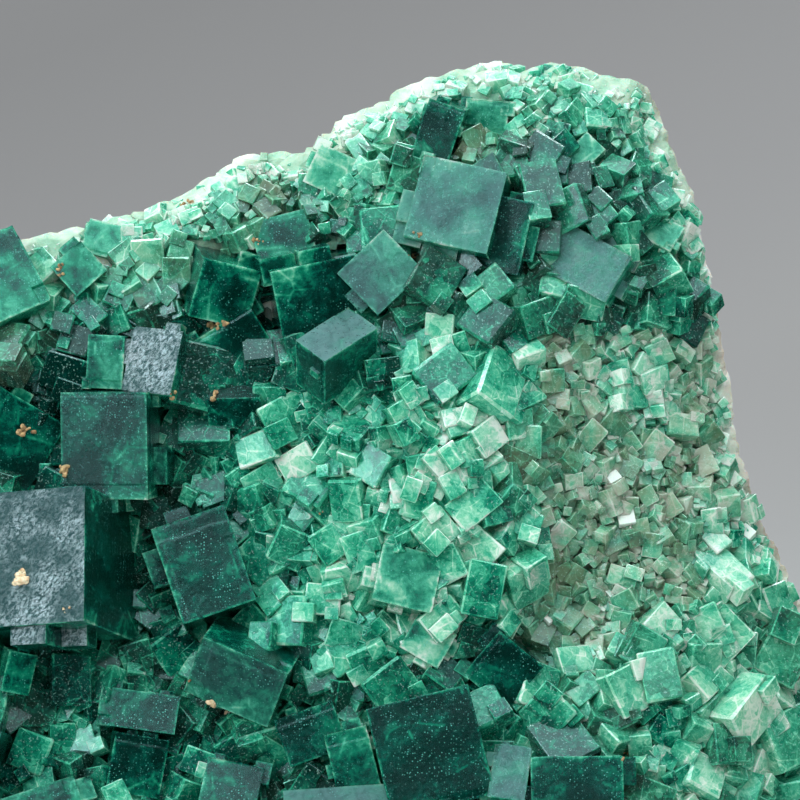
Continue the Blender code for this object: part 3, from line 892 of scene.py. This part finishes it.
def facets(n, where, age, scale):
    """Blocky lighter and darker panes inside a crystal, turned its own way, and the lines between them."""
    turn = n.new("ShaderNodeCombineXYZ", X=n.math("MULTIPLY", age, 6.0), Y=n.math("MULTIPLY", age, 17.0),
                 Z=n.math("MULTIPLY", age, 31.0)).outputs[0]
    bent = n.new("ShaderNodeMapping", Vector=where, Rotation=turn).outputs[0]
    panes = n.new("ShaderNodeTexVoronoi", Vector=bent, Scale=scale)
    panes.distance = "CHEBYCHEV"
    shade = n.new("ShaderNodeSeparateColor", Color=panes.outputs["Color"]).outputs[0]
    lines = n.new("ShaderNodeTexVoronoi", Vector=bent, Scale=scale * 0.8)
    lines.feature = "DISTANCE_TO_EDGE"
    line = n.ramp(lines.outputs["Distance"], [(0.0, (1.0, 1.0, 1.0)), (0.04, (0.0, 0.0, 0.0))])
    return shade, line


def sum_of(n, start, *terms):
    """start plus each (value, middle, weight) as weight x (value - middle)."""
    total = start
    for value, middle, weight in terms:
        total = n.math("ADD", total, n.math("MULTIPLY", n.math("SUBTRACT", value, middle), weight))
    return total


def large_material():
    """Dark glassy fluorite with clouds, veils, inclusions, an etched speckled skin, and painted sheen, glints and edge
    highlights.
    """
    n = fluorite_base("fluorite_large", 0.45, 0.30, 0.25)
    where = n.tree.nodes.new("ShaderNodeTexCoord").outputs["Object"]
    tone, edge = n.attribute("tone"), n.attribute("edge")
    frost, age = n.attribute("frost"), n.attribute("age")
    clouds = n.noise(where, 150.0, 2.0, 0.5, 0.8)
    wisps = n.noise(where, 480.0, 4.0, 0.62, 1.5)
    medium = n.noise(where, 1500.0, 3.0, 0.7)
    fine = n.noise(where, 3600.0, 2.0, 0.6)
    shade, line = facets(n, where, age, 190.0)
    # Painted highlight along bevels, step risers and chips, broken by noise.
    edge_highlight = n.math("MULTIPLY", edge, n.ramp(medium, black_to_white(0.35, 0.6, 0.2)))
    veil = n.math("MULTIPLY", line, n.ramp(clouds, black_to_white(0.48, 0.62)))
    level = sum_of(n, tone, (clouds, 0.50, 1.20), (wisps, 0.5, 0.60), (medium, 0.5, 0.40), (shade, 0.5, 0.16),
                   (edge_highlight, 0.0, 0.36), (veil, 0.0, 0.22))
    level = n.math("MAXIMUM", level, 0.0, clamp=True)
    colour = n.ramp(level, FLUORITE_STOPS)
    dots = n.new("ShaderNodeTexVoronoi", Vector=where, Scale=3000.0)
    chosen = n.new("ShaderNodeSeparateColor", Color=dots.outputs["Color"]).outputs[0]
    speck = n.math("MULTIPLY", n.ramp(dots.outputs["Distance"], [(0.14, (1.0, 1.0, 1.0)), (0.34, (0.0, 0.0, 0.0))]),
                   n.ramp(chosen, black_to_white(0.35, 0.75)))
    patch = n.ramp(n.noise(where, 260.0, 2.0), black_to_white(0.42, 0.66, 0.12))
    speckle = n.math("MULTIPLY", n.math("MULTIPLY", speck, patch), n.math("ADD", frost, 0.60), clamp=True)
    colour = n.mix(speckle, colour, (0.20, 0.70, 0.58))
    slanted = n.new("ShaderNodeMapping", Vector=where, Rotation=(0.0, STREAK_SLANT, 0.0)).outputs[0]
    streaks = n.new("ShaderNodeMapping", Vector=slanted, Scale=(0.6, 1.0, 1.0)).outputs[0]
    scratches = n.noise(streaks, 2500.0, 6.0, 0.80, 0.5)
    # Painted reflection: the frostier faces, which look towards the light, are greyed towards teal as if mirroring the
    # softboxes.
    painted_reflection = n.math("MULTIPLY", n.math("SUBTRACT", frost, 0.42), 4.0, clamp=True)
    colour = n.mix(n.math("MULTIPLY", painted_reflection, n.ramp(wisps, black_to_white(0.25, 0.6, 0.3))), colour, (0.13, 0.27, 0.27))
    # Etched skin, only where the faces look towards the light: a darker teal ground, and white specks along the
    # scratches that are painted glints.
    etched = n.math("MULTIPLY", n.math("SUBTRACT", frost, 0.62), 2.4, clamp=True)
    etch_glints = n.math("MULTIPLY", n.ramp(scratches, black_to_white(0.45, 0.58)),
                   n.ramp(n.noise(slanted, 130.0, 4.0, 0.7), black_to_white(0.40, 0.58, 0.15)))
    colour = n.mix(n.math("MULTIPLY", etched, 0.8), colour, (0.006, 0.048, 0.052))
    colour = n.mix(n.math("MULTIPLY", etched, etch_glints), colour, (0.80, 0.94, 1.0))
    n.feed(n.shader, "Base Color", colour)
    rough = sum_of(n, n.math("MULTIPLY", age, 0.08), (frost, -0.25, 0.20), (n.math("MULTIPLY", medium, frost), 0.0, 0.22))
    n.feed(n.shader, "Roughness", rough)
    first = n.bump(wisps, 0.16 * MM, 0.35)
    second = n.bump(fine, 0.05 * MM, n.math("ADD", n.math("MULTIPLY", frost, 0.5), 0.1), first)
    third = n.bump(scratches, 0.42 * MM, n.math("MULTIPLY", frost, 0.9), second)
    n.feed(n.shader, "Normal", third)
    n.feed(n.shader, "Coat Normal", third)
    return n.material


def small_colour(n, where, tone, edge, age, brown):
    """The mottled mint to emerald of the druse, with brown dirt and painted bevel highlights, and the two noises that
    made it.
    """
    clouds = n.noise(where, 260.0, 3.0, 0.6, 1.0)
    wisps = n.noise(where, 900.0, 4.0, 0.65, 1.5)
    shade, line = facets(n, where, age, 420.0)
    veil = n.math("MULTIPLY", line, n.ramp(clouds, black_to_white(0.40, 0.60)))
    # The edge term lightens the bevel faces: a painted highlight.
    level = sum_of(n, tone, (clouds, 0.5, 0.55), (wisps, 0.5, 0.70), (shade, 0.5, 0.26), (edge, 0.0, 0.24),
                   (veil, 0.0, 0.26))
    level = n.math("MAXIMUM", level, 0.0, clamp=True)
    colour = n.ramp(level, FLUORITE_STOPS)
    dirt = n.math("MULTIPLY", brown, n.ramp(clouds, black_to_white(0.35, 0.6, 0.25)), clamp=True)
    return n.mix(dirt, colour, BROWN), wisps


def small_material():
    """Mint to emerald fluorite of the druses."""
    n = fluorite_base("fluorite_small", 0.30, 0.45, 0.25)
    where = n.tree.nodes.new("ShaderNodeTexCoord").outputs["Object"]
    age = n.attribute("age")
    colour, wisps = small_colour(n, where, n.attribute("tone"), n.attribute("edge"), age, n.attribute("brown"))
    grain = n.noise(where, 3200.0, 2.0, 0.6)
    speck = n.ramp(grain, black_to_white(0.60, 0.70))
    colour = n.mix(n.math("MULTIPLY", speck, 0.42), colour, (0.55, 0.84, 0.74))
    n.feed(n.shader, "Base Color", colour)
    n.feed(n.shader, "Roughness", sum_of(n, 0.03, (wisps, 0.2, 0.28), (age, 0.0, 0.14)))
    first = n.bump(wisps, 0.16 * MM, 0.55)
    n.feed(n.shader, "Normal", n.bump(grain, 0.04 * MM, 0.6, first))
    return n.material


def matrix_material():
    """Crumbly vein stuff: white and pale green along the top edge, brown and buff elsewhere."""
    n = Nodes("matrix_stone")
    where = n.tree.nodes.new("ShaderNodeTexCoord").outputs["Object"]
    broad = n.noise(where, 45.0, 5.0, 0.6, 0.4)
    grain = n.noise(where, 900.0, 4.0, 0.7)
    rim, front = n.attribute("rim"), n.attribute("front")
    colour = n.ramp(broad, [(0.25, (0.10, 0.075, 0.045)), (0.42, (0.27, 0.225, 0.16)), (0.55, (0.47, 0.43, 0.36)),
                            (0.72, (0.60, 0.57, 0.50))])
    warp = n.new("ShaderNodeTexNoise", Vector=where, Scale=70.0, Detail=4.0).outputs["Color"]
    bent = n.tree.nodes.new("ShaderNodeVectorMath")
    bent.operation = "MULTIPLY_ADD"
    n.feed(bent, "0", warp)
    n.feed(bent, "1", (0.016, 0.016, 0.016))
    n.feed(bent, "2", where)
    cracks = n.new("ShaderNodeTexVoronoi", Vector=bent.outputs[0], Scale=42.0)
    cracks.feature = "DISTANCE_TO_EDGE"
    vein = n.math("MULTIPLY", n.ramp(cracks.outputs["Distance"], [(0.0, (1.0, 1.0, 1.0)), (0.05, (0.0, 0.0, 0.0))]),
                  n.ramp(broad, black_to_white(0.42, 0.56)))
    colour = n.mix(vein, colour, (0.72, 0.72, 0.66))
    # Darker brown spots, from noise.
    dark_spots = n.ramp(n.noise(where, 380.0, 4.0, 0.75), black_to_white(0.54, 0.68))
    colour = n.mix(n.math("MULTIPLY", dark_spots, 0.7), colour, (0.11, 0.09, 0.06))
    rust = n.ramp(n.noise(where, 120.0, 5.0, 0.7, 0.8), black_to_white(0.60, 0.72))
    colour = n.mix(n.math("MULTIPLY", rust, 0.55), colour, (0.36, 0.17, 0.05))
    green = n.ramp(n.noise(where, 60.0, 3.0, 0.6), black_to_white(0.5, 0.68))
    colour = n.mix(n.math("MULTIPLY", green, 0.45), colour, (0.30, 0.46, 0.33))
    crust, _ = small_colour(n, where, n.attribute("tone"), 0.0, 0.3, n.attribute("brown"))
    # The front crust is the druse colour taken 35% towards dark green: painted shade in the gaps between the crystals.
    colour = n.mix(front, colour, n.mix(0.35, crust, (0.02, 0.12, 0.07)))
    pale = n.ramp(n.noise(where, 160.0, 4.0, 0.6), [(0.38, (0.14, 0.34, 0.21)), (0.62, (0.58, 0.63, 0.51))])
    colour = n.mix(n.math("MULTIPLY", rim, 0.95), colour, pale)
    colour = n.mix(n.math("MULTIPLY", grain, 0.25), colour, (0.80, 0.80, 0.74))
    n.feed(n.shader, "Base Color", colour)
    n.feed(n.shader, "Roughness", n.math("ADD", n.math("MULTIPLY", grain, 0.4), 0.40))
    n.feed(n.shader, "Normal", n.bump(grain, 0.30 * MM, 0.9))
    n.feed(n.shader, "Subsurface Weight", 0.25)
    n.feed(n.shader, "Subsurface Scale", 1.5 * MM)
    return n.material


def crumb_material(name, dark, light):
    n = Nodes(name)
    where = n.tree.nodes.new("ShaderNodeTexCoord").outputs["Object"]
    mottle = n.noise(where, 1800.0, 3.0, 0.7)
    colour = n.ramp(n.math("ADD", mottle, n.math("MULTIPLY", n.attribute("age"), 0.3)), [(0.4, dark), (0.85, light)])
    n.feed(n.shader, "Base Color", colour)
    n.feed(n.shader, "Roughness", n.math("ADD", n.math("MULTIPLY", mottle, 0.5), 0.35))
    n.feed(n.shader, "Normal", n.bump(mottle, 0.12 * MM, 0.8))
    n.feed(n.shader, "Subsurface Weight", 0.2)
    n.feed(n.shader, "Subsurface Scale", 0.5 * MM)
    return n.material


# ---------------------------------------------------------------- stage, lights and camera

def build_bowl():
    """A seamless pale floor that curves up into a grey backdrop all round, its grey painted with light falloff and a
    glow.
    """
    profile = [(0.5, 0.0), (1.1, 0.0)]
    for step in range(1, 17):
        angle = math.radians(90.0 * step / 16)
        profile.append((1.1 + 1.7 * math.sin(angle), 1.7 - 1.7 * math.cos(angle)))
    profile.append((2.8, 3.2))
    turns = 96
    points, faces = [], []
    for radius, height in profile:
        for turn in range(turns):
            angle = 2.0 * math.pi * turn / turns
            points.append((radius * math.cos(angle), radius * math.sin(angle), height - 0.05 * MM))
    for ring in range(len(profile) - 1):
        for turn in range(turns):
            after = (turn + 1) % turns
            a, b = ring * turns, (ring + 1) * turns
            faces.append((a + turn, b + turn, b + after, a + after))
    bowl = mesh_object("backdrop", np.array(points), faces + [list(range(turns))], smooth=True)
    n = Nodes("backdrop_painted_light")
    where = n.tree.nodes.new("ShaderNodeTexCoord").outputs["Object"]
    height = n.new("ShaderNodeSeparateXYZ", Vector=where).outputs["Z"]
    # Painted light falloff: the grey darkens higher up the wall and lightens towards the right.
    stops = [(0.04, (0.455, 0.46, 0.46)), (0.105, (0.425, 0.428, 0.432)), (0.36, (0.33, 0.332, 0.335))]
    sideways = n.new("ShaderNodeSeparateXYZ", Vector=where).outputs["X"]
    colour = n.ramp(n.math("SUBTRACT", height, n.math("MULTIPLY", sideways, 0.45)), stops)
    n.feed(n.shader, "Base Color", colour)
    n.feed(n.shader, "Roughness", 0.9)
    # The backdrop glows with its own colour, painted light though it is no lamp.
    n.feed(n.shader, "Emission Color", colour)
    n.feed(n.shader, "Emission Strength", 0.48)
    bowl.data.materials.append(n.material)
    bowl.visible_glossy = False


def area_light(name, place, target, size, radiance):
    """A softbox of the given brightness, which doesn't depend on its size."""
    light = bpy.data.lights.new(name, "AREA")
    light.shape = "RECTANGLE"
    light.size, light.size_y = size
    light.energy = radiance * math.pi * size[0] * size[1]
    light.color = (0.85, 0.98, 1.0)
    obj = bpy.data.objects.new(name, light)
    obj.location = place
    obj.rotation_euler = (Vector(target) - Vector(place)).to_track_quat("-Z", "Y").to_euler()
    obj.visible_camera = False
    bpy.context.scene.collection.objects.link(obj)
    return obj


def build_lights():
    middle = np.array([0.0, 0.0, 0.085])
    area_light("softbox_top", (0.0, -0.43, 0.66), (0.0, -0.43, 0.0), (0.8, 1.45), 3.5)
    area_light("softbox_top_back", (0.0, 0.62, 0.66), (0.0, 0.3, 0.085), (0.8, 0.5), 1.1)
    for name, turn, rise, distance, size, radiance, glossy in (
        ("softbox_left", -52.0, 20.0, 0.85, (0.30, 0.38), 12.0, True),
        ("softbox_right", 60.0, 20.0, 1.3, (0.6, 0.6), 0.9, True),
        ("fill_front", -22.0, 25.0, 1.2, (0.8, 0.8), 0.9, False),
        ("fill_back", 150.0, 25.0, 1.4, (0.6, 0.6), 1.8, False),
    ):
        turn, rise = math.radians(turn), math.radians(rise)
        way = np.array([math.sin(turn) * math.cos(rise), -math.cos(turn) * math.cos(rise), math.sin(rise)])
        area_light(name, middle + way * distance, middle, size, radiance).visible_glossy = glossy
    world = bpy.data.worlds.new("studio")
    world.use_nodes = True
    world.node_tree.nodes["Background"].inputs["Color"].default_value = (0.75, 0.78, 0.82, 1.0)
    world.node_tree.nodes["Background"].inputs["Strength"].default_value = 0.32
    world.cycles_visibility.glossy = False
    bpy.context.scene.world = world


def build_camera():
    camera = bpy.data.cameras.new("camera")
    camera.lens = 225.0
    camera.sensor_width = 36.0
    camera.clip_start = 0.01
    obj = bpy.data.objects.new("camera", camera)
    target = Vector((0.0112, -0.008, 0.0882))
    obj.location = target + Vector((0.0, -0.70, 0.0))
    obj.rotation_euler = (math.radians(90.0), 0.0, 0.0)
    bpy.context.scene.collection.objects.link(obj)
    bpy.context.scene.camera = obj


def main():
    materials = {"large": large_material(), "small": small_material(), "matrix": matrix_material()}
    druse = Druse(Slab())
    build_large_crystals(materials)
    build_druse(materials, druse)
    build_matrix(materials, druse)
    rust = crumb_material("iron_stain", (0.12, 0.055, 0.018), (0.52, 0.34, 0.16))
    buff = crumb_material("buff_crumb", (0.42, 0.26, 0.13), (0.80, 0.62, 0.42))
    build_grains("iron_stains", STAINS, rust, "matrix_stone", 5)
    build_grains("buff_crumbs", CRUMBS, buff, "matrix_stone", 6)
    build_bowl()
    build_lights()
    build_camera()
    bpy.context.scene.view_settings.view_transform = "Standard"


main()
